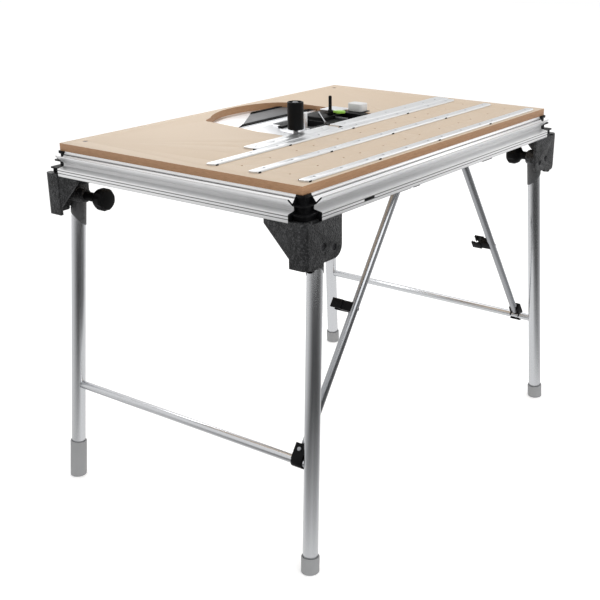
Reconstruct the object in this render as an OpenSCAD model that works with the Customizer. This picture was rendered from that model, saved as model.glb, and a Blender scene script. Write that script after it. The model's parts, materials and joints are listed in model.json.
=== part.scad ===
/* [Table] */
// Height of the working surface above the floor
top_z = 880; // [860:5:900]
// Length of the board
board_l = 1102; // [1090:1:1110]
// Width of the board
board_w = 718; // [710:1:724]
// Thickness of the board
board_t = 18; // [16:1:19]
// Outer length of the profile frame
frame_l = 1157; // [1150:1:1160]
// Outer width of the profile frame
frame_w = 773; // [768:1:776]
// Height of the frame profile
profile_h = 54; // [52:1:56]

/* [Legs] */
// Distance of the leg hinges from the centre, lengthwise
hinge_x = 520; // [518:1:522]
// Distance of the leg hinges from the centre, crosswise
hinge_y = 358; // [357:0.5:358]
// Distance of the tubes' upper ends from the centre, lengthwise
tube_x = 509; // [508:0.5:510]
// Distance of the feet from the centre, lengthwise
foot_x = 576.5; // [574:0.5:578]
// Distance of the feet from the centre, crosswise
foot_y = 386; // [384:0.5:387]
// Height of the left pair's hinge
hinge_z_left = 753; // [752:0.5:754]
// Height of the right pair's hinge
hinge_z_right = 750; // [749:0.5:751]
// Radius of a leg tube
leg_r = 17.5; // [17:0.1:17.6]
// Height of the cross bars
bar_z = 258; // [255:1:262]
// Radius of the cross bars
bar_r = 10; // [9.5:0.1:10]

/* [Braces] */
// Radius of a brace tube
brace_r = 9.5; // [9:0.1:9.5]
// Left brace's pivot, lengthwise
pivot_x_left = -169; // [-170:1:-168]
// Left brace's pivot, crosswise
pivot_y_left = -342.5; // [-343:0.5:-342]
// Left brace's pivot height
pivot_z_left = 805; // [804:0.5:806]
// Right brace's pivot, lengthwise
pivot_x_right = 180; // [179:1:181]
// Right brace's pivot, crosswise
pivot_y_right = -316; // [-317:0.5:-315]
// Right brace's pivot height
pivot_z_right = 790; // [789:0.5:790]
// How far from its pivot the left brace carries its clip
clip_at_left = 304; // [300:1:308]
// How far from its pivot the right brace carries its clip
clip_at_right = 323; // [318:1:326]

/* [Top fittings] */
// Width of a glide strip
strip_w = 26; // [24:0.5:27]
// Height of a glide strip
strip_h = 4; // [4:0.5:5]
// Radius of the guide roller
roller_r = 20; // [18:0.5:20]
// Height of the guide roller
roller_h = 67; // [60:1:70]

/* [Hidden] */
$fn = 48;

// Levels of the top
board_z = top_z - board_t;
frame_z = board_z - profile_h;
outer_x = frame_l / 2;
outer_y = frame_w / 2;
// The long profiles end here, and the short ones there
cut_x = 523;
cut_y = 342.5;
end_cap = 2;
// Depth of the profile below its ledge
profile_d = 31.5;
ledge_w = 20;
// Fits
run_gap = 0.06;
seat_gap = 0.1;

// Glide strips: centre lines, and the places of screws and plugs along them
strip_y = [-335, -203, -84.5];
edge_strip_y = -47.5;
edge_strip_w = 46;
strip_from = -521;
strip_end = 512;
screw_x = [for (g = [-384, -128, 128, 384], d = [-96, 0, 96]) g + d];
plug_x = [-256, 0, 256];
hole_rows = [-272, -141];
edge_left = [-343, -22];
edge_right = [-6, 525];
corner_screw = [502, 325];

// Cut-out: a large round and a smaller one at the rear right, with straight sides
cut_c = [53, 95];
cut_r = 250;
corner_c = [132, 245.4];
corner_r = 80;
cut_front = -22;

// Brackets
plate_out = 388;
plate_in = 380.5;
side_out = 580;
side_in = 572.5;
bracket_low = 719;
stop_screw = [483, 744];
bolt_r = 5;

// Heads and knobs
head_r = 18.8;
head_len = 85;
tube_wall = 2;
tube_start = 22;
knob_r = 27;

// Levels and places of the machine unit
plate_z = 868;
roller_at = [-128, -14];
post_at = [150, 84];

// Points of a leg: side is -1 for left, row is -1 for front
function hinge_z(side) = side < 0 ? hinge_z_left : hinge_z_right;
function hinge_point(side, row) = [side * hinge_x, row * hinge_y, hinge_z(side)];
function foot_point(side, row) = [side * foot_x, row * foot_y, 0];
// Upper end of a tube's axis, a little inward of the hinge bolt
function top_point(side, row) = [side * tube_x, row * hinge_y, hinge_z(side)];
function leg_length(side) = norm(foot_point(side, 1) - top_point(side, 1));
function leg_point(side, row, s) =
  top_point(side, row)
  + (foot_point(side, row) - top_point(side, row)) * s / leg_length(side);
function bar_s(side) =
  leg_length(side) * (hinge_z(side) - bar_z) / hinge_z(side);

// Points of a brace, s counted from its pivot towards the cross bar
function brace_pivot(side) = side < 0
  ? [pivot_x_left, pivot_y_left, pivot_z_left]
  : [pivot_x_right, pivot_y_right, pivot_z_right];
function bar_point(side) = [
  leg_point(side, -1, bar_s(side))[0], brace_pivot(side)[1], bar_z];
function clip_at(side) = side < 0 ? clip_at_left : clip_at_right;
function brace_len(side) = norm(bar_point(side) - brace_pivot(side));
function brace_dir(side) = (bar_point(side) - brace_pivot(side)) / brace_len(side);
brace_end_gap = 20;

// Places the children with their +Z from p towards q
module along(p, q) {
  v = q - p;
  translate(p)
    rotate([0, acos(v[2] / norm(v)), atan2(v[1], v[0])])
      children();
}

module rod(p, q, r) {
  along(p, q) cylinder(r = r, h = norm(q - p));
}

// A cylinder along +Y
module y_cylinder(x, y, z, r, h) {
  translate([x, y + h, z]) rotate([90, 0, 0]) cylinder(r = r, h = h);
}

// A block between two corners
module block(low, high) {
  translate(low) cube(high - low);
}

// A rectangle with rounded corners, from low to high
module arc_rect(low, high, r) {
  translate([low[0] + r, low[1]]) square([high[0] - low[0] - 2 * r, high[1] - low[1]]);
  translate([low[0], low[1] + r]) square([high[0] - low[0], high[1] - low[1] - 2 * r]);
  for (x = [low[0] + r, high[0] - r], y = [low[1] + r, high[1] - r])
    translate([x, y]) circle(r = r);
}

// Outline of the cut-out, drawn smaller by g
function cutout_points(g) = concat(
  [[-175 + g, cut_front + g], [206 - g, cut_front + g]],
  [for (i = [0:6])
    corner_c + (corner_r - g) * [cos(i * 10.4), sin(i * 10.4)]],
  [for (i = [1:12])
    cut_c + (cut_r - g) * [cos(62.4 + i * 5.5), sin(62.4 + i * 5.5)]],
  [[-120 + g, 284 - g], [-133 + g, 279 - g], [-143 + g, 266 - g],
    [-155 + g, 160], [-171 + g, 75]]);

module cutout_outline(g = 0) {
  polygon(cutout_points(g));
}

// Keeps the part of a flat shape that lies inside the cut-out
module inside_cutout(g = 1.5) {
  intersection() {
    children();
    cutout_outline(g);
  }
}

module tabletop() {
  color("burlywood")
    difference() {
      translate([0, 0, board_z])
        linear_extrude(board_t)
          difference() {
            square([board_l, board_w], center = true);
            cutout_outline();
          }
      for (y = hole_rows, x = screw_x)
        translate([x, y, top_z - 12]) cylinder(r = 2.5, h = 13);
      for (sx = [-1, 1], sy = [-1, 1])
        translate([sx * corner_screw[0], sy * corner_screw[1], board_z - 1]) {
          cylinder(r = 3.1, h = board_t + 2);
          translate([0, 0, board_t - 3]) cylinder(r = 6.2, h = 6);
        }
      for (p = strip_screws())
        translate([p[0], p[1], top_z - 8]) cylinder(r = 2.05, h = 9);
    }
}

// ---------- Frame profiles ----------
// Cross-section: X grows outwards from the inner wall, Y upwards from the base
module profile_section() {
  difference() {
    polygon([
      [0, 0], [profile_d, 0], [profile_d, 18], [11.5, 21.5], [11.5, 30],
      [17, 32.5], [31, 46], [profile_d, 48.5], [29.5, 48.5], [17, 36.5],
      [4.5, 52], [4.5, profile_h], [-ledge_w, profile_h],
      [-ledge_w, profile_h - 5], [0, profile_h - 5]]);
    // Two thin grooves along the outer face
    translate([profile_d - 2.5, 7]) square([4, 1]);
    translate([profile_d - 2.5, 13.5]) square([4, 1]);
    // Hollows
    translate([19, 2.5]) square([8, 13]);
    translate([2.5, 2.5]) square([14, 17]);
    translate([2.5, 22]) square([6.5, 26]);
  }
}

// The same outline without its hollows, for the plates at the ends
module profile_outline() {
  polygon([
    [-2, 0], [profile_d, 0], [profile_d, 18], [11.5, 21.5], [11.5, 30],
    [17, 32.5], [31, 46], [profile_d, 48.5], [29.5, 48.5], [17, 36.5],
    [4.5, 52], [4.5, profile_h - 0.5], [-2, profile_h - 0.5]]);
}

// A front or rear profile; row is -1 for front
module long_profile(row) {
  color("lightgray")
    translate([-cut_x, row * (outer_y - profile_d), frame_z])
      rotate([90, 0, 90])
        linear_extrude(2 * cut_x)
          mirror([row < 0 ? 1 : 0, 0]) profile_section();
}

module short_profile(side) {
  color("lightgray")
    translate([side * (outer_x - profile_d), cut_y, frame_z])
      rotate([90, 0, 0])
        linear_extrude(2 * cut_y)
          mirror([side < 0 ? 1 : 0, 0]) profile_section();
}

// The front profile has a shallow seat for the insert
module front_profile() {
  color("lightgray")
    difference() {
      long_profile(-1);
      block([-372, -outer_y - 1, frame_z + 8.2], [-334, -outer_y + 1.2, frame_z + 13.4]);
    }
}

module rear_profile() { long_profile(1); }
module left_profile() { short_profile(-1); }
module right_profile() { short_profile(1); }

// Moulded corner piece, drawn at the front left
// Its steps: from, to, inset lengthwise, inset crosswise, corner radius
corner_steps = [
  [4, 14, 12, 11, 6], [13.9, 17, 8, 7.5, 6], [16.9, 31, 25, 23, 5],
  [30.9, 34, 16, 15, 5], [33.9, profile_h - 5.9, 27, 25, 5],
  [profile_h - 6, profile_h, 24, 22, 5]];

module corner_connector() {
  in_x = outer_x - profile_d;
  in_y = outer_y - profile_d;
  for (c = corner_steps)
    translate([0, 0, frame_z + c[0]])
      linear_extrude(c[1] - c[0])
        arc_rect([-(outer_x - c[2]), -(outer_y - c[3])],
          [-(cut_x + end_cap - 0.1), -(cut_y + end_cap - 0.1)], c[4]);
  // Plates that close the profile ends
  translate([-cut_x - end_cap, -in_y, frame_z])
    rotate([90, 0, 90]) linear_extrude(end_cap) mirror([1, 0]) profile_outline();
  translate([-in_x, -cut_y, frame_z])
    rotate([90, 0, 0]) linear_extrude(end_cap) mirror([1, 0]) profile_outline();
  // Block inside the corner that carries the board screw
  difference() {
    block([-(cut_x + end_cap), -(cut_y + end_cap), frame_z + 6],
      [-494, -316, board_z - 5.2]);
    block([-(cut_x + 1), -(cut_y + 1), frame_z], [-514, -336, board_z]);
    translate([-corner_screw[0], -corner_screw[1], frame_z])
      cylinder(r = 2.6, h = 60);
  }
}

// Repeats what is drawn at the front left at all four corners
module four_corners() {
  for (mx = [0, 1], my = [0, 1])
    mirror([mx, 0, 0]) mirror([0, my, 0]) children();
}

module corner_connectors() {
  color("#1c1c1e") four_corners() corner_connector();
}

// ---------- Leg brackets ----------
module bracket(hz) {
  top_in = frame_z;
  difference() {
    union() {
      // Front plate with its rounded lower corner
      translate([0, -plate_in, 0])
        rotate([90, 0, 0])
          linear_extrude(plate_out - plate_in)
            difference() {
              union() {
                translate([-572, bracket_low])
                  square([572 - 482, top_in - bracket_low]);
                translate([-482, bracket_low + 26]) square([26, top_in - bracket_low - 26]);
                translate([-482, bracket_low + 26]) circle(r = 26);
              }
            }
      // Lower lip on the outer half
      translate([0, -plate_in, 0])
        rotate([90, 0, 0])
          linear_extrude(plate_out - plate_in)
            arc_rect([-566, 711], [-521, bracket_low + 14], 5);
      // Rounded corner post and the side wall
      translate([-568, -(plate_out - 12), 713])
        cylinder(r = 12, h = frame_z + 4 - 713);
      block([-side_out, -(plate_out - 12), 713], [-side_in, -344, frame_z]);
      block([-side_out, -(plate_out - 12), frame_z - 1], [-side_in, -345, frame_z + 4]);
      block([-568, -plate_out, 713], [-560, -plate_in, frame_z + 4]);
      // Triangular wing
      translate([-side_in, 0, 0])
        rotate([90, 0, -90])
          linear_extrude(6)
            polygon([[344, 732], [344, frame_z], [279, frame_z], [279, frame_z - 9]]);
      // Flange under the frame
      block([-side_in, -plate_in, frame_z - 7], [-456, -344, frame_z]);
      block([-side_in, -344, frame_z - 7], [-545, -279, frame_z]);
      // Rib under the flange
      translate([-545, 0, 0])
        rotate([90, 0, -90])
          linear_extrude(4)
            polygon([[344, 776], [344, frame_z], [272, frame_z], [272, frame_z - 12]]);
      // Ears of the flange that reach under the corner piece
      block([-side_in, -plate_in, frame_z - 1], [-(cut_x + end_cap + 0.4), -345, frame_z + 4]);
    }
    // Hinge bolt and its recess
    y_cylinder(-hinge_x, -plate_out - 1, hz, bolt_r + run_gap, 12);
    y_cylinder(-hinge_x, -plate_out - 1, hz, 8.2, 6);
    // Stop screw and its recess
    y_cylinder(-stop_screw[0], -plate_out - 1, stop_screw[1], 4.1, 12);
    y_cylinder(-stop_screw[0], -plate_out - 1, stop_screw[1], 7.2, 6);
  }
}

module bracket_at(side, row) {
  color("#55565a")
    mirror([side > 0 ? 1 : 0, 0, 0])
      mirror([0, row > 0 ? 1 : 0, 0])
        bracket(hinge_z(side));
}

module bracket_front_left() { bracket_at(-1, -1); }
module bracket_rear_left() { bracket_at(-1, 1); }
module bracket_front_right() { bracket_at(1, -1); }
module bracket_rear_right() { bracket_at(1, 1); }

// Stop screws of the brackets, and the screws of the brace brackets
module bracket_screws() {
  color("dimgray") {
    four_corners()
      difference() {
        union() {
          y_cylinder(-stop_screw[0], -plate_out + 2.2, stop_screw[1], 7, 2.7);
          y_cylinder(-stop_screw[0], -plate_out + 3, stop_screw[1], 4, 4);
        }
        y_cylinder(-stop_screw[0], -plate_out, stop_screw[1], 3, 3.8);
      }
    for (p = [pivot_x_left, pivot_x_right]) {
      translate([p + 22, -368, frame_z - 8]) {
        cylinder(r = 6, h = 2.9);
        cylinder(r = 3, h = 8);
      }
      // A second bolt sits straight under the profile
      translate([p + 66, -368, frame_z - 3.4]) cylinder(r = 6, h = 3.4);
    }
  }
}

module hinge_bolts() {
  color("dimgray")
    for (side = [-1, 1], row = [-1, 1])
      mirror([side > 0 ? 1 : 0, 0, 0])
        mirror([0, row > 0 ? 1 : 0, 0])
          difference() {
            union() {
              y_cylinder(-hinge_x, -plate_out + 2.5, hinge_z(side), 8, 2.4);
              y_cylinder(-hinge_x, -plate_out + 4, hinge_z(side), bolt_r,
                knob_reach(side, row) + 4);
            }
            y_cylinder(-hinge_x, -plate_out, hinge_z(side), 3.4, 4.2);
          }
}

module bracket_bumpers() {
  color("#151515")
    four_corners()
      translate([-556, -379, 705]) {
        translate([0, 0, 2]) cylinder(r = 7, h = 4);
        cylinder(r = 5.5, h = 2.1);
      }
}

// ---------- Glide strips ----------
function strip_screws() = concat(
  [for (y = strip_y, x = screw_x) [x, y]],
  [for (x = [-320, -256, -160, -64]) [x, edge_strip_y]],
  [for (x = [32, 128, 224, 320, 416, 480]) [x, edge_strip_y]]);

// A strip from x0 to x1 along y, its corners cut off
module strip(x0, x1, y, w = strip_w) {
  half = w / 2;
  difference() {
    intersection() {
      translate([x0, y, top_z])
        rotate([90, 0, 90])
          linear_extrude(x1 - x0)
            polygon([[-half, 0], [half, 0], [half, strip_h - 2], [half - 2.5, strip_h],
              [2.5 - half, strip_h], [-half, strip_h - 2]]);
      translate([0, y, top_z - 1])
        linear_extrude(strip_h + 2)
          polygon([[x0, 5 - half], [x0, half - 5], [x0 + 6, half], [x1 - 6, half],
            [x1, half - 5], [x1, 5 - half], [x1 - 6, -half], [x0 + 6, -half]]);
    }
    for (p = strip_screws())
      if (p[1] == y && p[0] > x0 && p[0] < x1)
        translate([p[0], y, top_z - 1]) {
          cylinder(r = 2.05, h = strip_h + 2);
          translate([0, 0, strip_h - 1]) cylinder(r = 3.6, h = 3);
        }
  }
}

module strip_front() {
  color("gainsboro") strip(strip_from, strip_end, strip_y[0]);
}

module strip_middle() {
  color("gainsboro") strip(strip_from, strip_end, strip_y[1]);
}

module strip_rear() {
  color("gainsboro") strip(strip_from, strip_end, strip_y[2]);
}

module edge_strip_left() {
  color("gainsboro") strip(edge_left[0], edge_left[1], edge_strip_y, edge_strip_w);
}

module edge_strip_right() {
  color("gainsboro") strip(edge_right[0], edge_right[1], edge_strip_y, edge_strip_w);
}

// Screws of the strips, and the four that hold the board
module top_screws() {
  color("slategray") {
    for (p = strip_screws())
      translate([p[0], p[1], top_z - 8]) {
        cylinder(r = 2, h = 8 + strip_h - 2);
        translate([0, 0, 8 + strip_h - 2]) cylinder(r = 3.5, h = 1.4);
      }
    for (sx = [-1, 1], sy = [-1, 1])
      translate([sx * corner_screw[0], sy * corner_screw[1], board_z - 20]) {
        cylinder(r = 2.5, h = 20.5);
        translate([0, 0, 20]) cylinder(r = 3, h = board_t - 3);
        translate([0, 0, 20 + board_t - 3])
          difference() {
            cylinder(r = 6, h = 2.6);
            translate([0, 0, 1]) cylinder(r = 2.4, h = 3, $fn = 6);
          }
      }
  }
}

module plug(x, y) {
  translate([x - 4, y - 1.6, top_z]) cube([8, 1.6, 3]);
}

module strip_plugs() {
  front = strip_w / 2;
  color("#151515") {
    for (y = strip_y, x = plug_x) plug(x, y - front);
    // At the left ends
    for (y = strip_y) plug(strip_from + 10, y - front);
    for (x = [edge_left[0], edge_right[0]])
      translate([x - 3.1, edge_strip_y - 20, top_z]) cube([3, 8, 3]);
    plug(strip_from + 10, strip_y[0] + front + 1.6);
  }
}

// Black insert between the two grooves of the front profile
module slot_insert() {
  color("#151515")
    block([-371.8, -outer_y - 0.5, frame_z + 8.4], [-334.2, -outer_y + 1.1, frame_z + 13.2]);
}

module brace_bracket_left() {
  p = brace_pivot(-1);
  wall = -outer_y + profile_d;
  color("#1c1c1e")
    difference() {
      union() {
        // Plate on the inner wall of the profile, with a foot under it
        translate([0, wall + 2.4, 0])
          rotate([90, 0, 0])
            linear_extrude(2.2)
              arc_rect([p[0] - 18, frame_z - 16], [p[0] + 40, frame_z + 26], 6);
        block([p[0] + 10, -380, frame_z - 5], [p[0] + 34, wall + 2.3, frame_z]);
        // Pivot pin with its head
        y_cylinder(p[0], wall + 0.4, p[2], 5, p[1] + brace_r - wall + 2);
        y_cylinder(p[0], p[1] + brace_r + 1.4, p[2], 8, 3);
      }
      translate([p[0] + 22, -368, frame_z - 9]) cylinder(r = 3.06, h = 12);
    }
}

module brace_bracket_right() {
  p = brace_pivot(1);
  near = p[1] - brace_r - 3.3;
  color("#1c1c1e")
    difference() {
      union() {
        // Foot under the profile, and its arm towards the brace
        block([p[0] - 14, -380, frame_z - 5], [p[0] + 34, near, frame_z]);
        block([p[0] - 14, near - 1, frame_z - 5], [p[0] + 14, p[1] + brace_r + 3.6, frame_z]);
        // Two ears
        for (y = [near - 0.2, p[1] + brace_r + 0.6])
          hull($fn = 32) {
            y_cylinder(p[0], y, p[2], 10, 3);
            block([p[0] - 14, y, frame_z - 4], [p[0] + 14, y + 3, frame_z - 3]);
          }
        // Pivot pin
        y_cylinder(p[0], near - 1.5, p[2], 5, 2 * brace_r + 8.6);
      }
      translate([p[0] + 22, -368, frame_z - 9]) cylinder(r = 3.06, h = 12);
    }
}

// ---------- Machine unit in the cut-out ----------
// Carrier sheet under the board
module support_tray() {
  color("silver")
    translate([0, 0, board_z - 4])
      linear_extrude(4)
        difference() {
          arc_rect([-205, -57], [242, 334.5], 12);
          arc_rect([-10, -14], [194, 142], 8);
        }
}

module adapter_plate() {
  x = roller_at[0];
  color("gainsboro")
    difference() {
      union() {
        translate([0, 0, board_z])
          linear_extrude(plate_z - board_z)
            inside_cutout()
              union() {
                square_from([-180, -30], [-23, 149]);
                square_from([-180, 148], [220, 174.4]);
              }
        // Raised lip along the rear edge
        translate([0, 0, plate_z - 0.1])
          linear_extrude(2.1)
            inside_cutout()
              square_from([-180, 172.6], [204, 174.4]);
      }
      for (g = [-158, -96]) translate([g, 6, board_z - 1]) linear_extrude(12) arc_rect([0, 0], [7, 46], 3.4);
      translate([-112, -9, board_z - 1]) linear_extrude(12) arc_rect([0, 0], [26, 7], 3.4);
      translate([x, roller_at[1], board_z - 1]) cylinder(r = 5.1, h = 12);
      for (p = [[-148, 136], [-36, 136]])
        translate([p[0], p[1], board_z - 1]) cylinder(r = 3.1, h = 12);
    }
}

module square_from(low, high) {
  translate(low) square(high - low);
}

module cover_panel() {
  color("#6b6d70")
    translate([0, 0, board_z])
      linear_extrude(5)
        inside_cutout()
          polygon([[-74, 204], [260, 204], [260, 288], [56, 288]]);
}

module cover_seals() {
  color("#151515")
    translate([0, 0, board_z])
      linear_extrude(7)
        inside_cutout() {
          polygon([[-132, 174.8], [260, 174.8], [260, 203.8], [-74.3, 203.8]]);
          polygon([[56.3, 288.2], [260, 288.2], [260, 300], [74.6, 300]]);
        }
}

// Black body that hangs in the cut-out
module machine_housing() {
  color("#1a1a1b")
    difference() {
      union() {
        translate([0, 0, 796])
          linear_extrude(board_z - 796 + 0.1)
            arc_rect([-6, -10], [190, 138], 16);
        // Rim that rests on the carrier sheet
        translate([0, 0, board_z])
          linear_extrude(4)
            arc_rect([-19, -19], [201, 146], 6);
        // Raised deck at the rear right
        translate([0, 0, board_z + 3.9])
          linear_extrude(8)
            arc_rect([96, 66], [201, 146], 10);
        // Foot that reaches over the plate
        block([-54, 88, plate_z], [-14, 102, plate_z + 5]);
        block([-19, 86, board_z + 3.9], [10, 104, plate_z + 5]);
        // Ribs of the open part
        for (i = [0:5])
          rotate_about([6 + i * 15, 14], 24)
            block([6 + i * 15, -4, board_z + 3.8], [10 + i * 15, 24, board_z + 8]);
      }
      // Open pit between the ribs and the deck
      translate([0, 0, 830]) linear_extrude(60) arc_rect([14, 42], [84, 122], 12);
      block([84.5, 76, 846], [88, 132, 858]);
    }
}

module rotate_about(c, a) {
  translate([c[0], c[1], 0]) rotate([0, 0, a]) translate([-c[0], -c[1], 0]) children();
}

// Thin plate beside the cut-out, partly over it
module edge_plate() {
  color("silver")
    translate([0, 0, top_z])
      linear_extrude(2)
        difference() {
          arc_rect([165, 72], [226, 132], 5);
          for (y = [84, 120]) translate([219, y]) circle(r = 2.5);
        }
}

// Rod across the open part, on two small posts, and a rail beside it
module tie_rod() {
  color("silver") {
    rod([53, 30, 875.2], [140, 114.5, 878.4], 1.6);
    translate([53, 30, board_z + 4]) cylinder(r = 3, h = 10.6);
    translate([140, 114.5, board_z + 11.9]) cylinder(r = 3, h = 5.9);
    block([143.5, 22, board_z + 4], [146.5, 64, board_z + 10]);
  }
}

module angle_bracket() {
  color("whitesmoke")
    difference() {
      union() {
        block([-45, 20, plate_z], [-41.5, 32, 912]);
        block([-45, 28.5, plate_z], [-25, 32, 912]);
        block([-45, 20, plate_z], [-25, 32, plate_z + 3]);
      }
      for (z = [884, 892, 900]) y_cylinder(-32, 20, z, 1.6, 20);
    }
}

module roller_shaft() {
  x = roller_at[0];
  y = roller_at[1];
  color("silver")
    translate([x, y, 0]) {
      translate([0, 0, board_z]) cylinder(r = 5, h = roller_low() + roller_h - 4 - board_z);
      translate([0, 0, plate_z]) cylinder(r = 6.8, h = 5);
      translate([0, 0, plate_z + 5]) cylinder(r = 6.2, h = roller_low() - plate_z - 5.3);
      // Nut that holds the roller
      translate([0, 0, roller_low() + roller_h - 5.7]) cylinder(r = 8, h = 5, $fn = 6);
      translate([0, 0, roller_low() + roller_h - 0.8]) cylinder(r = 3, h = 1.6);
    }
}

function roller_low() = top_z + 9;

module guide_roller() {
  color("#141414")
    translate([roller_at[0], roller_at[1], roller_low()])
      rotate_extrude($fn = 64)
        polygon([
          [5 + run_gap, 0], [roller_r - 1.5, 0], [roller_r, 1.5],
          [roller_r, roller_h - 1.5], [roller_r - 1.5, roller_h],
          [roller_r - 4.5, roller_h], [roller_r - 5.5, roller_h - 6],
          [5 + run_gap, roller_h - 6]]);
}

module cover_box() {
  color("#b9bcbd")
    translate([0, 0, top_z + 1.2])
      linear_extrude(20.3)
        arc_rect([195, 14], [231, 60], 8);
}

// Base of the cover box, stepped over the edge of the board
module cover_base() {
  color("#151515") {
    translate([0, 0, top_z]) linear_extrude(1.2) arc_rect([165, 8], [232, 60], 5);
    translate([0, 0, board_z + 4])
      linear_extrude(top_z - board_z - 3.9)
        arc_rect([166, -8], [200, 59], 5);
  }
}

module guide_post() {
  color("#151515")
    translate([post_at[0], post_at[1], board_z + 11.9]) {
      cylinder(r = 8, h = 7);
      cylinder(r = 4.5, h = 49);
      translate([0, 0, 48.9]) cylinder(r = 3.4, h = 2);
    }
}

module clamp_lever() {
  x = post_at[0];
  y = post_at[1];
  color("yellowgreen")
    translate([0, 0, board_z + 19.3])
      difference() {
        union() {
          translate([x, y, 0]) cylinder(r = 6.4, h = 6);
          translate([x - 3, y - 24, 0]) cube([7, 20, 5]);
          hull($fn = 32) {
            translate([x + 1, y - 30, 0]) cylinder(r = 9, h = 6.5);
            translate([x + 4, y - 38, 0.5]) cylinder(r = 8, h = 5.5);
          }
        }
        translate([x, y, -1]) cylinder(r = 4.5 + run_gap, h = 10);
      }
}

// ---------- Leg pairs ----------
module leg_tube(side, row) {
  color("#b4b6b8")
    difference() {
      rod(leg_point(side, row, tube_start), leg_point(side, row, leg_length(side) - 12), leg_r);
      rod(leg_point(side, row, 0), leg_point(side, row, leg_length(side)), leg_r - tube_wall);
    }
}

module leg_front_left() { leg_tube(-1, -1); }
module leg_rear_left() { leg_tube(-1, 1); }
module leg_front_right() { leg_tube(1, -1); }
module leg_rear_right() { leg_tube(1, 1); }

// Head of one leg: an eye on the hinge, and a sleeve over the tube
module leg_head(side, row) {
  p = hinge_point(side, row);
  t = top_point(side, row);
  eye = head_r - 0.4;
  y_low = p[1] - head_r + 0.8;
  groove = hinge_z(side) - 734;
  difference() {
    union() {
      y_cylinder(p[0], y_low, p[2], eye, 2 * head_r - 1.6);
      y_cylinder(t[0], y_low, t[2], eye, 2 * head_r - 1.6);
      block([min(p[0], t[0]), y_low, p[2] - eye],
        [max(p[0], t[0]), y_low + 2 * head_r - 1.6, p[2] + eye]);
      rod(t, leg_point(side, row, head_len), head_r);
      // Boss that carries the knob of a rear leg
      if (row > 0)
        y_cylinder(p[0], p[1] - 39, p[2], 16, 23);
      for (s = [46, 62])
        y_cylinder(leg_point(side, row, s)[0],
          leg_point(side, row, s)[1] + (row < 0 ? head_r - 2 : -head_r - 0.6),
          leg_point(side, row, s)[2], 3.4, 2.6);
    }
    rod(leg_point(side, row, tube_start), leg_point(side, row, head_len + 30), leg_r + seat_gap);
    y_cylinder(p[0], p[1] - 60, p[2], bolt_r + run_gap, 120);
    // Groove under the eye
    difference() {
      rod(leg_point(side, row, groove), leg_point(side, row, groove + 2), head_r + 8);
      rod(leg_point(side, row, groove - 1), leg_point(side, row, groove + 3), head_r - 0.8);
    }
    // Oblique lower end, longer on the inner side
    translate(leg_point(side, row, hinge_z(side) - 690))
      rotate(a = 45, v = [row, -side, 0])
        translate([-60, -60, -80]) cube([120, 120, 80]);
  }
}

module leg_heads_left() {
  color("#4a4b4e") for (row = [-1, 1]) leg_head(-1, row);
}

module leg_heads_right() {
  color("#4a4b4e") for (row = [-1, 1]) leg_head(1, row);
}

// Bar between the two tubes of a pair, its ends shaped to the tubes
module cross_bar(side) {
  s = bar_s(side);
  reach = abs(leg_point(side, 1, s)[1]) - 6;
  color("#a9abad")
    difference() {
      y_cylinder(leg_point(side, 1, s)[0], -reach, bar_z, bar_r, 2 * reach);
      y_cylinder(leg_point(side, 1, s)[0], -reach - 1, bar_z, bar_r - 1.5, 2 * reach + 2);
      for (row = [-1, 1])
        rod(leg_point(side, row, s - 60), leg_point(side, row, s + 60), leg_r + seat_gap);
    }
}

module cross_bar_left() { cross_bar(-1); }
module cross_bar_right() { cross_bar(1); }

// Cap that closes a tube and stands on the floor, cut flat at the floor
module foot_cap(side, row, tall) {
  end = leg_length(side);
  difference() {
    rod(leg_point(side, row, end - tall), leg_point(side, row, end + 4), 21);
    rod(leg_point(side, row, end - tall - 5), leg_point(side, row, end - 11.9), leg_r + seat_gap);
    translate([foot_point(side, row)[0] - 40, foot_point(side, row)[1] - 40, -20])
      cube([80, 80, 20]);
  }
}

module foot_cap_left() {
  color("#8f9193") foot_cap(-1, -1, 38);
}

module foot_caps_right() {
  color("#8f9193") for (row = [-1, 1]) foot_cap(1, row, 38);
}

// Long cap on the rear left leg that slides on its tube to level the table
module levelling_foot() {
  end = leg_length(-1);
  color("#8f9193")
    difference() {
      rod(leg_point(-1, 1, end - 98), leg_point(-1, 1, end + 4), 21);
      rod(leg_point(-1, 1, end - 105), leg_point(-1, 1, end - 11.6), leg_r + run_gap);
      translate([-foot_x - 40, foot_y - 40, -20]) cube([80, 80, 20]);
    }
}

// ---------- Hand knobs on the leg hinges ----------
// How far a knob reaches from the middle of its leg
function knob_reach(side, row) = row > 0 ? 116 : (side < 0 ? 64 : 83);

module knob(side, row) {
  p = hinge_point(side, row);
  neck_from = row < 0 ? 19.5 : 40;
  reach = knob_reach(side, row);
  color("#141414")
    translate([p[0], p[1], p[2]])
      mirror([0, row > 0 ? 1 : 0, 0])
        rotate([-90, 0, 0])
          difference() {
            union() {
              translate([0, 0, neck_from]) cylinder(r = 11, h = reach - 34 - neck_from);
              translate([0, 0, reach - 44])
                rotate_extrude()
                  polygon([[0, 0], [11, 0], [14, 6], [22, 12], [knob_r - 2, 17],
                    [knob_r, 22], [knob_r, 36], [knob_r - 5, 42], [0, 44]]);
            }
            translate([0, 0, neck_from - 1]) cylinder(r = bolt_r + run_gap, h = reach - neck_from - 10);
            // Finger hollows round the rim
            for (a = [0:60:300])
              rotate([0, 0, a + 30])
                translate([knob_r + 8, 0, reach - 40]) cylinder(r = 11, h = 50);
          }
}

module knob_front_left() { knob(-1, -1); }
module knob_rear_left() { knob(-1, 1); }
module knob_front_right() { knob(1, -1); }
module knob_rear_right() { knob(1, 1); }

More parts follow.
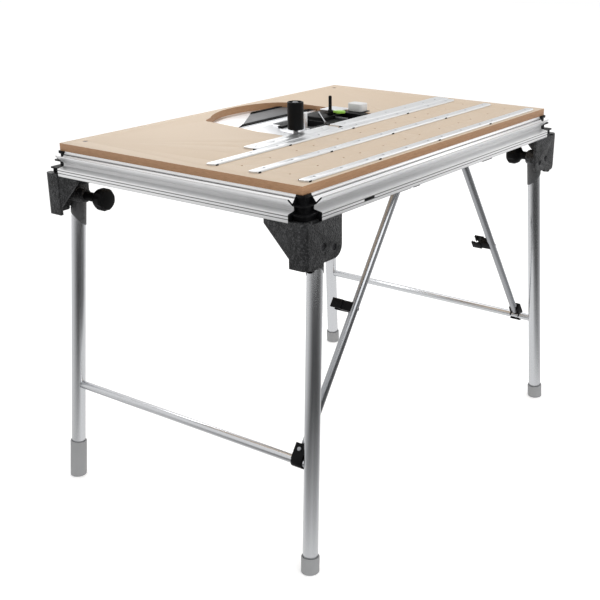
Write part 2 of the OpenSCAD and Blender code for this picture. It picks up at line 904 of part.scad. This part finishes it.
// ---------- Braces ----------
// Places the children on a brace at s from its pivot, +Z towards the bar
module on_brace(side, s) {
  p = brace_pivot(side) + brace_dir(side) * s;
  translate(p)
    rotate([0, (side < 0 ? 180 + asin(-brace_dir(side)[0]) : 180 - asin(brace_dir(side)[0])), 0])
      children();
}

module brace_tube(side) {
  p = brace_pivot(side);
  color("#8d9094")
    difference() {
      union() {
        rod(p - brace_dir(side) * 7, p + brace_dir(side) * (brace_len(side) - brace_end_gap), brace_r);
        // Small bolt heads near the two ends
        for (s = [brace_len(side) - 48, clip_at(side)])
          y_cylinder((p + brace_dir(side) * s)[0], p[1] - brace_r - 1.6,
            (p + brace_dir(side) * s)[2], 3.6, 3);
      }
      y_cylinder(p[0], p[1] - 30, p[2], 5 + run_gap, 60);
      rod(p + brace_dir(side) * 16, p + brace_dir(side) * brace_len(side), brace_r - 1.5);
    }
}

module brace_tube_left() { brace_tube(-1); }
module brace_tube_right() { brace_tube(1); }

// Storage clip: a saddle on the tube and a jaw that opens to the rear
module brace_clip(side) {
  color("#151515")
    on_brace(side, clip_at(side))
      difference() {
        union() {
          translate([-10, 2, -11]) cube([20, 27, 22]);
          translate([-13.5, 28, -11]) cube([27, 28, 22]);
        }
        translate([0, 0, -20]) cylinder(r = brace_r + seat_gap, h = 40);
        translate([0, 42, -20]) cylinder(r = 10.2, h = 40);
        translate([-7.5, 42, -20]) cube([15, 30, 40]);
        // Bevelled tips of the jaw
        for (m = [0, 1])
          mirror([m, 0, 0])
            translate([7.5, 53, -20]) rotate([0, 0, 45]) translate([-3, -3, 0]) cube([6, 3, 40]);
      }
}

module brace_clip_left() { brace_clip(-1); }
module brace_clip_right() { brace_clip(1); }

// Socket on a cross bar: it grips the bar and holds the end of the brace.
// Local +X points away from the table and up, +Z along the brace to the bar
socket_half = 14.5;
module brace_socket(side) {
  color("#151515")
    on_brace(side, brace_len(side))
      mirror([side < 0 ? 0 : 1, 0, 0])
        difference() {
          union() {
            y_cylinder(0, -socket_half, 0, bar_r + 4.2, 2 * socket_half);
            translate([2, -socket_half, -38]) cube([14.5, 2 * socket_half, 38]);
            for (y = [-socket_half, socket_half - 3.2])
              translate([-4, y, -36]) cube([16, 3.2, 32]);
          }
          y_cylinder(0, -40, 0, bar_r + 0.05, 80);
          // Room for the end of the brace, and its way out
          translate([-30, -brace_r - 1.6, -60])
            cube([30 + brace_r + 0.6, 2 * brace_r + 3.2, 46]);
          translate([-40, -40, -8]) cube([40, 80, 10]);
          translate([-40, -brace_r - 1.6, -30]) cube([40, 2 * brace_r + 3.2, 30]);
          // Bore of the release button
          translate([0, 0, -25]) rotate([0, 90, 0]) cylinder(r = 5, h = 40);
        }
}

module brace_socket_left() { brace_socket(-1); }
module brace_socket_right() { brace_socket(1); }

// Button in the back of a socket
module release_button(side) {
  color("silver")
    on_brace(side, brace_len(side))
      mirror([side < 0 ? 0 : 1, 0, 0])
        translate([13, 0, -25])
          rotate([0, 90, 0]) {
            cylinder(r = 5 - run_gap, h = 6.4);
            translate([0, 0, 6.3]) cylinder(r = 4.2, h = 1);
          }
}

module release_button_left() { release_button(-1); }
module release_button_right() { release_button(1); }

tabletop();
front_profile();
rear_profile();
left_profile();
right_profile();
corner_connectors();
bracket_front_left();
bracket_rear_left();
bracket_front_right();
bracket_rear_right();
bracket_screws();
hinge_bolts();
bracket_bumpers();
strip_front();
strip_middle();
strip_rear();
edge_strip_left();
edge_strip_right();
top_screws();
strip_plugs();
slot_insert();
brace_bracket_left();
brace_bracket_right();
support_tray();
adapter_plate();
cover_panel();
cover_seals();
machine_housing();
edge_plate();
tie_rod();
angle_bracket();
roller_shaft();
cover_box();
cover_base();
guide_post();
guide_roller();
clamp_lever();
leg_front_left();
leg_rear_left();
leg_heads_left();
cross_bar_left();
foot_cap_left();
brace_socket_left();
levelling_foot();
leg_front_right();
leg_rear_right();
leg_heads_right();
cross_bar_right();
foot_caps_right();
brace_socket_right();
knob_front_left();
knob_rear_left();
knob_front_right();
knob_rear_right();
brace_tube_left();
brace_clip_left();
brace_tube_right();
brace_clip_right();
release_button_left();
release_button_right();
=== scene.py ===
import json
import math

import bmesh
import bpy
from mathutils import Matrix, Vector


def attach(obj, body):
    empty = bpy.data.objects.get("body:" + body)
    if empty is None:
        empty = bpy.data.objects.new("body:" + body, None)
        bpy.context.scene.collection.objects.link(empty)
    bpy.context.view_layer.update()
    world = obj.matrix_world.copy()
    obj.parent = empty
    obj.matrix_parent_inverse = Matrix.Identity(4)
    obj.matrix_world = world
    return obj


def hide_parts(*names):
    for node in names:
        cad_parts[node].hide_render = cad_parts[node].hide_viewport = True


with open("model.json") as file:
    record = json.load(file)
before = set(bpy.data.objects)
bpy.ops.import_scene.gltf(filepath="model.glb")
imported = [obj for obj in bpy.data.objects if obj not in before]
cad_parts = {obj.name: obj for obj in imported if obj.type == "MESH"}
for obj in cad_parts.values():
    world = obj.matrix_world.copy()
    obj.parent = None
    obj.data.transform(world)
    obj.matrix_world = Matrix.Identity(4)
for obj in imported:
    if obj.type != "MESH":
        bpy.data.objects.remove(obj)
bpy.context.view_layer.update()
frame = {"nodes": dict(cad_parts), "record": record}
NODES = frame["nodes"]
BODY_OF = {n: b for b, ns in frame["record"]["behaviour"]["bodies"].items() for n in ns}
SLOT_OF = {s["node"]: s["material_slot"] for s in frame["record"]["subparts"]}
scene = bpy.context.scene
scene.view_settings.view_transform = "Standard"

# ---------------------------------------------------------------- sizes, in metres
# Lower edge and height of the frame profiles
FRAME_FOOT, FRAME_HEIGHT = 0.808, 0.054
# Below this height a leg head shows its plain sleeve; the fade is a rate per metre
SLEEVE_TOP, SLEEVE_FADE = 0.740, 70.0
# Axis of the clamp lever on its post, and the radius of the black ring there
LEVER_AXIS = (0.150, 0.084)
LEVER_RING = 0.0125
# Half the length and half the width of the table, for the tone of the ground card
TABLE_HALF = (0.58, 0.39)

# Sockets of the Mix node: colour mixing and plain number mixing
MIX_FACTOR, MIX_COLOUR_A, MIX_COLOUR_B, MIX_COLOUR_OUT = 0, 6, 7, 2
MIX_NUMBER_A, MIX_NUMBER_B, MIX_NUMBER_OUT = 2, 3, 0


# ---------------------------------------------------------------- materials
def grey(v):
    return (v, v, v)


BLACK, WHITE = grey(0), grey(1)


class Mat:
    """A small helper that builds a node material on object coordinates."""

    def __init__(self, name):
        self.m = bpy.data.materials.new(name)
        self.m.use_nodes = True
        self.t = self.m.node_tree
        self.b = self.t.nodes["Principled BSDF"]
        self.co = self.t.nodes.new("ShaderNodeTexCoord").outputs["Object"]

    def new(self, kind, **sockets):
        n = self.t.nodes.new(kind)
        for k, v in sockets.items():
            n.inputs[k].default_value = v
        return n

    def link(self, a, b):
        self.t.links.new(a, b)

    def coords(self, scale=(1, 1, 1), rotation=(0, 0, 0)):
        n = self.new("ShaderNodeMapping")
        n.inputs["Scale"].default_value = scale
        n.inputs["Rotation"].default_value = rotation
        self.link(self.co, n.inputs["Vector"])
        return n.outputs["Vector"]

    def xyz(self, vector=None):
        n = self.new("ShaderNodeSeparateXYZ")
        self.link(vector or self.co, n.inputs[0])
        return n.outputs["X"], n.outputs["Y"], n.outputs["Z"]

    def noise(self, scale, detail=4.0, rough=0.5, vec=None, distortion=0.0):
        n = self.new("ShaderNodeTexNoise", Scale=scale, Detail=detail, Roughness=rough,
                     Distortion=distortion)
        self.link(vec or self.co, n.inputs["Vector"])
        return n.outputs["Fac"]

    def ramp(self, fac, stops):
        """A colour ramp; each stop is a place from 0 to 1 and a colour."""
        n = self.new("ShaderNodeValToRGB")
        elements = n.color_ramp.elements
        while len(elements) < len(stops):
            elements.new(0.5)
        for element, (place, colour) in zip(elements, stops):
            element.position = place
            element.color = (*colour, 1)
        self.link(fac, n.inputs["Fac"])
        return n.outputs["Color"]

    def mix(self, fac, a, b):
        """Colour a where fac is 0, colour b where it is 1."""
        n = self.t.nodes.new("ShaderNodeMix")
        n.data_type = "RGBA"
        for index, v in ((MIX_FACTOR, fac), (MIX_COLOUR_A, a), (MIX_COLOUR_B, b)):
            if hasattr(v, "links"):
                self.link(v, n.inputs[index])
            else:
                n.inputs[index].default_value = v if isinstance(v, float) else (*v, 1)
        return n.outputs[MIX_COLOUR_OUT]

    def math(self, operation, a, b=0.0):
        n = self.t.nodes.new("ShaderNodeMath")
        n.operation = operation
        for sock, v in ((n.inputs[0], a), (n.inputs[1], b)):
            if hasattr(v, "links"):
                self.link(v, sock)
            else:
                sock.default_value = v
        return n.outputs[0]

    def bump(self, height, strength, distance):
        n = self.new("ShaderNodeBump", Strength=strength, Distance=distance)
        self.link(height, n.inputs["Height"])
        self.link(n.outputs["Normal"], self.b.inputs["Normal"])

    def set(self, **values):
        """Set the shader's sockets; an underscore in a name stands for a space."""
        for k, v in values.items():
            sock = self.b.inputs[k.replace("_", " ")]
            if hasattr(v, "links"):
                self.link(v, sock)
            else:
                sock.default_value = (*v, 1) if isinstance(v, tuple) else v


def fibreboard():
    """Pale pressed faces, and darker layered edges wherever a face stands upright."""
    m = Mat("fibreboard")
    normal = m.t.nodes.new("ShaderNodeNewGeometry").outputs["True Normal"]
    up = m.math("ABSOLUTE", m.xyz(normal)[2])
    fine = m.noise(1500, 3, 0.7)
    fibres = m.noise(160, 6, 0.75, m.coords((1, 5, 1), (0, 0, 0.3)))
    cloud = m.noise(3.2, 3, 0.5)
    top = m.mix(m.math("MULTIPLY", fibres, 0.5), (0.575, 0.46, 0.345), (0.505, 0.39, 0.28))
    top = m.mix(m.math("MULTIPLY", cloud, 0.35), top, (0.61, 0.50, 0.385))
    layers = m.noise(60, 5, 0.7, m.coords((1, 1, 14)))
    side = m.ramp(layers, [(0.3, (0.28, 0.145, 0.068)), (0.7, (0.46, 0.265, 0.14))])
    side = m.mix(m.math("MULTIPLY", fine, 0.4), side, (0.37, 0.20, 0.10))
    lying = m.ramp(up, [(0.6, BLACK), (0.9, WHITE)])
    m.set(Base_Color=m.mix(lying, side, top),
          Roughness=m.ramp(fibres, [(0.2, grey(0.5)), (0.8, grey(0.68))]))
    m.bump(m.math("ADD", m.math("MULTIPLY", fine, 0.6), fibres), 0.12, 0.0004)
    return m.m


# Painted shade over the height of a frame profile, from its lower edge at 0 to its top at 1:
# darker bands stand in for shade at the lower edge, in two thin grooves, in the hollow and at
# the lip above it
LOWER_EDGE_PAINTED_SHADE = [(0.0, 0.45), (0.03, 0.95)]
GROOVE_PAINTED_SHADE = [(0.118, 1.0), (0.130, 0.10), (0.150, 0.10), (0.162, 1.0),
               (0.238, 1.0), (0.250, 0.10), (0.270, 0.10), (0.282, 1.0)]
HOLLOW_PAINTED_SHADE = [(0.330, 0.99), (0.372, 0.68), (0.50, 0.78), (0.60, 0.92), (0.84, 1.0)]
LIP_PAINTED_SHADE = [(0.885, 0.95), (0.90, 0.35), (0.925, 0.9), (1.0, 1.0)]
PROFILE_PAINTED_SHADE = LOWER_EDGE_PAINTED_SHADE + GROOVE_PAINTED_SHADE + HOLLOW_PAINTED_SHADE + LIP_PAINTED_SHADE
# What is left of the colour in the darkest groove, as painted shade
GROOVE_SHADE_SHARE = 0.12


# Painted shade by height on a frame profile: darker bands where shade falls
def profile_painted_shade(m):
    up = m.math("DIVIDE", m.math("SUBTRACT", m.xyz()[2], FRAME_FOOT), FRAME_HEIGHT)
    return m.ramp(up, [(place, grey(tone)) for place, tone in PROFILE_PAINTED_SHADE])


def brushed(name, colour, axis, rough=(0.24, 0.36), metallic=1.0, strength=0.06,
            profile=False):
    """Satin metal with faint lines along one axis; a profile also gets bands of painted shade in
    its grooves, hollow and edges.
    """
    m = Mat(name)
    stretch = tuple(1.0 if i == axis else 90.0 for i in range(3))
    lines = m.noise(14, 5, 0.65, m.coords(stretch))
    cloud = m.noise(9, 3, 0.5)
    in_line = tuple(c * 0.93 for c in colour)
    tone = m.mix(m.math("MULTIPLY", lines, 0.8), colour, in_line)
    if profile:
        # painted shade: darken the profile's grooves, hollow and edges by height
        tone = m.mix(profile_painted_shade(m), tuple(c * GROOVE_SHADE_SHARE for c in colour), tone)
    m.set(Base_Color=tone, Metallic=metallic)
    both = m.math("ADD", m.math("MULTIPLY", lines, 0.7), m.math("MULTIPLY", cloud, 0.3))
    m.set(Roughness=m.ramp(both, [(0.25, grey(rough[0])), (0.75, grey(rough[1]))]))
    m.bump(lines, strength, 0.0003)
    return m.m


def casting(name="dark_casting", sleeve=False):
    """Dark coated die casting with a leather-like grain and pale flecks, partly wear and partly
    painted highlight glints.

    With sleeve, the part below SLEEVE_TOP is a plain mid grey.
    """
    m = Mat(name)
    cloud = m.noise(30, 5, 0.6, distortion=0.6)
    grain = m.noise(130, 5, 0.7, distortion=1.6)
    cells = m.new("ShaderNodeTexVoronoi", Scale=150.0, Randomness=1.0)
    cells.feature = "DISTANCE_TO_EDGE"
    m.link(m.co, cells.inputs["Vector"])
    tone = m.ramp(cloud, [(0.30, (0.012, 0.0122, 0.0128)), (0.55, (0.024, 0.0245, 0.026)),
                          (0.75, (0.055, 0.056, 0.059))])
    # Pale flecks: partly worn spots, partly painted highlight glints
    wear_and_glint_flecks = m.ramp(grain, [(0.50, BLACK), (0.72, grey(0.55))])
    colour = m.mix(wear_and_glint_flecks, tone, (0.23, 0.232, 0.237))
    rough = m.ramp(grain, [(0.3, grey(0.24)), (0.7, grey(0.46))])
    if sleeve:
        below = m.math("MULTIPLY", m.math("SUBTRACT", SLEEVE_TOP, m.xyz()[2]), SLEEVE_FADE)
        plain = m.mix(m.math("MULTIPLY", cloud, 0.7), (0.085, 0.087, 0.09),
                      (0.14, 0.142, 0.147))
        colour = m.mix(m.ramp(below, [(0.0, BLACK), (0.25, WHITE)]), colour, plain)
    m.set(Base_Color=colour, Metallic=0.6, Roughness=rough, Specular_IOR_Level=0.6)
    creases = m.ramp(cells.outputs["Distance"], [(0.0, BLACK), (0.25, WHITE)])
    height = m.math("ADD", m.math("MULTIPLY", grain, 0.8), m.math("MULTIPLY", creases, 0.5))
    m.bump(height, 1.0, 0.0012)
    return m.m


def plastic(name, colour, rough=0.42, grain=900.0, strength=0.15, light=1.5, spec=0.5):
    """Moulded plastic with a fine grain; light is how much paler its clouds are."""
    m = Mat(name)
    fine = m.noise(grain, 3, 0.6)
    cloud = m.noise(30, 3, 0.6)
    paler = tuple(min(1.0, c * light) for c in colour)
    m.set(Base_Color=m.mix(m.math("MULTIPLY", cloud, 0.6), colour, paler),
          Roughness=m.ramp(cloud, [(0.3, grey(rough * 0.85)), (0.7, grey(min(1, rough * 1.2)))]),
          Specular_IOR_Level=spec)
    m.bump(fine, strength, 0.0002)
    return m.m


def painted(name, colour, rough, metallic, peel_strength=0.04):
    """Powder coat or lacquer with a faint orange peel and small scuffs."""
    m = Mat(name)
    peel = m.noise(420, 2, 0.5)
    scuff = m.noise(55, 7, 0.8, m.coords((1, 1, 0.12)))
    wear = m.ramp(scuff, [(0.66, BLACK), (0.76, grey(0.35))])
    m.set(Base_Color=m.mix(wear, colour, tuple(min(1, c * 1.25) for c in colour)),
          Metallic=metallic,
          Roughness=m.ramp(scuff, [(0.3, grey(rough * 0.92)), (0.75, grey(rough * 1.2))]))
    m.bump(peel, peel_strength, 0.0001)
    return m.m


def rubber():
    return plastic("rubber", (0.0022, 0.0022, 0.0025), 0.8, 1400.0, 0.3, 1.5, 0.06)


def lever_plastic():
    """Lime green, with a black ring round the post."""
    m = Mat("lever_green")
    cloud = m.noise(60, 3, 0.6)
    green = m.mix(cloud, (0.30, 0.62, 0.06), (0.42, 0.74, 0.13))
    x, y, _ = m.xyz()
    dx = m.math("SUBTRACT", x, LEVER_AXIS[0])
    dy = m.math("SUBTRACT", y, LEVER_AXIS[1])
    distance_squared = m.math("ADD", m.math("MULTIPLY", dx, dx), m.math("MULTIPLY", dy, dy))
    ring = m.math("LESS_THAN", distance_squared, LEVER_RING ** 2)
    m.set(Base_Color=m.mix(ring, green, grey(0.006)), Roughness=0.4)
    m.bump(m.noise(800, 3, 0.6), 0.1, 0.0002)
    return m.m


# By material slot, with some more that NODE_MAT gives to single nodes
ALONG_X, ALONG_Y, ALONG_Z = 0, 1, 2
PROFILE_COLOUR, PROFILE_ROUGH, PROFILE_METALLIC = (0.97, 0.97, 0.975), (0.28, 0.38), 0.65
MAT = {
    "board": fibreboard(),
    "strip": brushed("strip_alu", (0.79, 0.80, 0.81), ALONG_X, (0.28, 0.42)),
    "profile_x": brushed("profile_alu_x", PROFILE_COLOUR, ALONG_X, PROFILE_ROUGH,
                         PROFILE_METALLIC, profile=True),
    "profile_y": brushed("profile_alu_y", PROFILE_COLOUR, ALONG_Y, PROFILE_ROUGH,
                         PROFILE_METALLIC, profile=True),
    "sheet": brushed("sheet_alu", (0.86, 0.87, 0.89), ALONG_X, (0.3, 0.42)),
    "black_plastic": plastic("black_plastic", (0.0035, 0.0035, 0.004), 0.45, spec=0.12),
    "casting": casting(),
    "casting_head": casting("casting_head", sleeve=True),
    "steel": brushed("zinc_steel", (0.42, 0.43, 0.45), ALONG_Z, (0.3, 0.45)),
    "top_screw": brushed("top_screw", (0.16, 0.162, 0.168), ALONG_Z, (0.35, 0.5), 0.85),
    "dull_steel": brushed("dull_steel", (0.30, 0.305, 0.315), ALONG_Z, (0.3, 0.45), 0.95),
    "dark_screw": brushed("dark_screw", (0.06, 0.06, 0.065), ALONG_Z, (0.35, 0.5), 0.7),
    "rubber": rubber(),
    "panel": painted("dark_panel", (0.075, 0.077, 0.082), 0.42, 0.25),
    "leg_paint": painted("leg_silver", (0.74, 0.75, 0.77), 0.2, 0.98, 0.02),
    "brace_paint": painted("brace_grey", (0.43, 0.44, 0.46), 0.24, 0.96, 0.02),
    "foot_plastic": plastic("foot_grey", (0.27, 0.273, 0.277), 0.5, 700.0, 0.2, 1.15),
    "box_plastic": plastic("box_grey", (0.64, 0.64, 0.635), 0.45, 800.0, 0.1, 1.1),
    "lever_plastic": lever_plastic(),
}
SLOT_MAT = {"profile": "profile_x"}
NODE_MAT = {"left_profile": "profile_y", "right_profile": "profile_y",
            "leg_heads_left": "casting_head", "leg_heads_right": "casting_head",
            "bracket_screws": "dark_screw", "hinge_bolts": "dark_screw",
            "top_screws": "top_screw", "roller_shaft": "dull_steel"}


def material_of(node):
    slot = SLOT_OF[node]
    return MAT[NODE_MAT.get(node, SLOT_MAT.get(slot, slot))]


# ---------------------------------------------------------------- pieces from the frame
# Width of the rounding on the edges of a node; the others have FINE_EDGE
EDGE_GROUPS = (
    (0.0022, ("bracket_front_left", "bracket_rear_left", "bracket_front_right",
              "bracket_rear_right")),
    (0.0012, ("knob_front_left", "knob_rear_left", "knob_front_right", "knob_rear_right",
              "leg_heads_left", "leg_heads_right", "clamp_lever")),
    (0.0010, ("cover_box", "levelling_foot", "foot_cap_left", "foot_caps_right")),
    (0.0008, ("corner_connectors", "bracket_bumpers")),
    (0.0006, ("tabletop",)),
    (0.0004, ("front_profile", "rear_profile", "left_profile", "right_profile",
              "strip_front", "strip_middle", "strip_rear", "edge_strip_left",
              "edge_strip_right")),
)
EDGE = {node: width for width, nodes in EDGE_GROUPS for node in nodes}
FINE_EDGE = 0.0003
EDGE_SEGMENTS = 2
# Points nearer than this are one point
SAME_POINT = 1e-6
# In degrees: faces this close lie flat, edges past the second are rounded, and edges
# still past the third are shaded sharp
FLAT_ANGLE, ROUND_ANGLE, SHARP_ANGLE = 1.0, 28.0, 38.0


def clean_copy(node, name):
    """The mesh of a CAD node with its flat faces joined up."""
    bm = bmesh.new()
    bm.from_mesh(NODES[node].data)
    bmesh.ops.remove_doubles(bm, verts=bm.verts, dist=SAME_POINT)
    bmesh.ops.dissolve_limit(bm, angle_limit=math.radians(FLAT_ANGLE), verts=bm.verts,
                             edges=bm.edges, delimit={"NORMAL"})
    me = bpy.data.meshes.new(name)
    bm.to_mesh(me)
    bm.free()
    return me


def refine(node, name, width):
    """A copy of a CAD node with clean faces and rounded edges, standing for it."""
    me = clean_copy(node, name)
    o = bpy.data.objects.new(name, me)
    scene.collection.objects.link(o)
    me.materials.append(material_of(node))
    for p in me.polygons:
        p.use_smooth = True
    b = o.modifiers.new("edges", "BEVEL")
    b.width = width
    b.segments = EDGE_SEGMENTS
    b.limit_method = "ANGLE"
    b.angle_limit = math.radians(ROUND_ANGLE)
    b.use_clamp_overlap = True
    deps = bpy.context.evaluated_depsgraph_get()
    deps.update()
    done = bpy.data.meshes.new_from_object(o.evaluated_get(deps))
    o.modifiers.clear()
    o.data = done
    done.set_sharp_from_angle(angle=math.radians(SHARP_ANGLE))
    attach(o, BODY_OF[node])
    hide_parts(node)


def pieces():
    for n, o in NODES.items():
        o.data.materials.clear()
        o.data.materials.append(material_of(n))
    for n in sorted(NODES):
        refine(n, n + "_piece", EDGE.get(n, FINE_EDGE))


# ---------------------------------------------------------------- camera
CAMERA_AT = (-2.171904, -1.610825, 1.387580)
# In radians; yaw 0 looks along +Y, and a positive pitch looks down
CAMERA_YAW, CAMERA_PITCH, CAMERA_ROLL = 0.9585132, 0.3936813, 0.0038967
# In millimetres
CAMERA_LENS, CAMERA_SENSOR = 63.04, 36.0
CAMERA_SHIFT = (-0.0810, 0.0770)
CAMERA_REACH = 60.0


def camera():
    d = Vector((math.sin(CAMERA_YAW) * math.cos(CAMERA_PITCH),
                math.cos(CAMERA_YAW) * math.cos(CAMERA_PITCH),
                -math.sin(CAMERA_PITCH)))
    r = d.cross(Vector((0, 0, 1))).normalized()
    u = r.cross(d)
    c, s = math.cos(CAMERA_ROLL), math.sin(CAMERA_ROLL)
    right, upward = c * r + s * u, c * u - s * r
    data = bpy.data.cameras.new("camera")
    data.sensor_width = CAMERA_SENSOR
    data.lens = CAMERA_LENS
    data.shift_x, data.shift_y = CAMERA_SHIFT
    data.dof.use_dof = False
    data.clip_end = CAMERA_REACH
    cam = bpy.data.objects.new("camera", data)
    m = Matrix((right, upward, -d)).transposed().to_4x4()
    m.translation = CAMERA_AT
    cam.matrix_world = m
    scene.collection.objects.link(cam)
    scene.camera = cam


# ---------------------------------------------------------------- floor and reflection cards
FLOOR_HALF, FLOOR_Z = 14, -0.001
CARD_HALF, CARD_Z = 8.5, 0.002
# The curved backdrop: flat panels on a circle, centred on the camera's side, each
# turned from the last by PANEL_TURN degrees
WALL_RADIUS, WALL_TOP = 8, 2.6
WALL_PANELS, PANEL_TURN = 19, 12
# Direction on the ground from the table to the camera
TOWARD_CAMERA = (-0.818, -0.575)

# Tone of the cards by direction: 0.5 is the camera's side, 0.25 and 0.75 are square to it
TONE_BY_TURN = [(0.19, 0.80), (0.30, 0.60), (0.35, 0.42), (0.40, 0.24), (0.45, 0.08),
                (0.50, 0.045), (0.62, 0.05), (0.70, 0.13), (0.76, 0.30), (0.82, 0.55),
                (0.87, 0.80)]
# Tone by the distance from the table's edge, where 1 is 2 m
TONE_BY_DISTANCE = [(0.0, 0.75), (0.09, 0.45), (0.2, 0.26), (0.42, 0.12), (0.75, 0.04)]


def flat_piece(name, corners, material):
    """One flat polygon of the studio."""
    bm = bmesh.new()
    bm.faces.new([bm.verts.new(c) for c in corners])
    bm.normal_update()
    me = bpy.data.meshes.new(name)
    bm.to_mesh(me)
    bm.free()
    o = bpy.data.objects.new(name, me)
    scene.collection.objects.link(o)
    me.materials.append(material)
    return o


def flat_square(name, half, z, material):
    corners = ((-half, -half, z), (half, -half, z), (half, half, z), (-half, half, z))
    return flat_piece(name, corners, material)


def floor():
    m = Mat("floor_pale")
    n = m.noise(0.6, 2, 0.5)
    m.set(Base_Color=m.mix(n, grey(0.91), grey(0.93)), Roughness=0.9,
          Specular_IOR_Level=0.1, Emission_Color=grey(1.0), Emission_Strength=0.30)
    flat_square("floor", FLOOR_HALF, FLOOR_Z, m.m)


def reflection_card_material():
    """Dark towards the camera, brighter to both sides and close to the table."""
    m = Mat("reflection_card")
    x, y, _ = m.xyz()
    cx, cy = TOWARD_CAMERA
    toward = m.math("SUBTRACT", m.math("MULTIPLY", x, cx), m.math("MULTIPLY", y, -cy))
    right = m.math("SUBTRACT", m.math("MULTIPLY", x, -cy), m.math("MULTIPLY", y, -cx))
    turn = m.math("ARCTAN2", right, toward)
    turn = m.math("ADD", m.math("MULTIPLY", turn, 1 / math.tau), 0.5)
    by_turn = m.ramp(turn, [(place, grey(tone)) for place, tone in TONE_BY_TURN])
    away = m.math("MAXIMUM",
                  m.math("SUBTRACT", m.math("ABSOLUTE", x), TABLE_HALF[0]),
                  m.math("SUBTRACT", m.math("ABSOLUTE", y), TABLE_HALF[1]))
    by_distance = m.ramp(m.math("MULTIPLY", away, 0.5),
                         [(place, grey(tone)) for place, tone in TONE_BY_DISTANCE])
    tone = m.math("MAXIMUM", by_turn, by_distance)
    cloud = m.math("ADD", m.math("MULTIPLY", m.noise(2.0, 2, 0.5), 0.1), 0.95)
    m.set(Base_Color=grey(0.01), Roughness=1.0, Specular_IOR_Level=0.0,
          Emission_Color=m.math("MULTIPLY", tone, cloud), Emission_Strength=1.0)
    return m.m


def only_glossy(o):
    o.visible_camera = False
    o.visible_diffuse = False
    o.visible_shadow = False
    o.visible_transmission = False


def cards():
    """A ground and a curved backdrop that only show in glossy reflections."""
    mat = reflection_card_material()
    only_glossy(flat_square("card_ground", CARD_HALF, CARD_Z, mat))
    facing = math.atan2(TOWARD_CAMERA[1], TOWARD_CAMERA[0])
    for k in range(WALL_PANELS):
        middle = PANEL_TURN * (k - WALL_PANELS // 2)
        turns = [facing + math.radians(middle + half)
                 for half in (-PANEL_TURN / 2, PANEL_TURN / 2)]
        a, b = ((WALL_RADIUS * math.cos(t), WALL_RADIUS * math.sin(t)) for t in turns)
        corners = ((*a, CARD_Z), (*b, CARD_Z), (*b, WALL_TOP), (*a, WALL_TOP))
        only_glossy(flat_piece("card_wall_%d" % k, corners, mat))


# ---------------------------------------------------------------- light
# Strength of the white surroundings: as light on the table, and as the backdrop seen
WORLD_LIGHT, WORLD_SEEN = 0.80, 1.0


def area(name, at, aim, size, power):
    data = bpy.data.lights.new(name, "AREA")
    data.shape = "RECTANGLE"
    data.size, data.size_y = size
    data.energy = power
    o = bpy.data.objects.new(name, data)
    o.location = at
    o.rotation_euler = (Vector(aim) - Vector(at)).to_track_quat("-Z", "Y").to_euler()
    o.visible_camera = False
    scene.collection.objects.link(o)


def surroundings():
    world = bpy.data.worlds.new("studio")
    scene.world = world
    world.use_nodes = True
    tree = world.node_tree
    background = tree.nodes["Background"]
    background.inputs["Color"].default_value = (*WHITE, 1)
    path = tree.nodes.new("ShaderNodeLightPath")
    level = tree.nodes.new("ShaderNodeMix")
    level.data_type = "FLOAT"
    level.inputs[MIX_NUMBER_A].default_value = WORLD_LIGHT
    level.inputs[MIX_NUMBER_B].default_value = WORLD_SEEN
    tree.links.new(path.outputs["Is Camera Ray"], level.inputs[MIX_FACTOR])
    tree.links.new(level.outputs[MIX_NUMBER_OUT], background.inputs["Strength"])


def lights():
    surroundings()
    area("key", (-1.2, -2.4, 3.0), (0, 0, 0.7), (2.4, 1.8), 24)
    area("fill", (2.6, -1.5, 2.0), (0, 0, 0.6), (2.0, 2.0), 12)
    area("top", (0.5, 0.8, 3.4), (0.1, 0.1, 0.8), (2.4, 2.4), 16)
    area("rear", (0.35, 0.95, 1.38), (0.2, 0.2, 0.88), (1.0, 0.35), 2.6)


pieces()
camera()
floor()
cards()
lights()
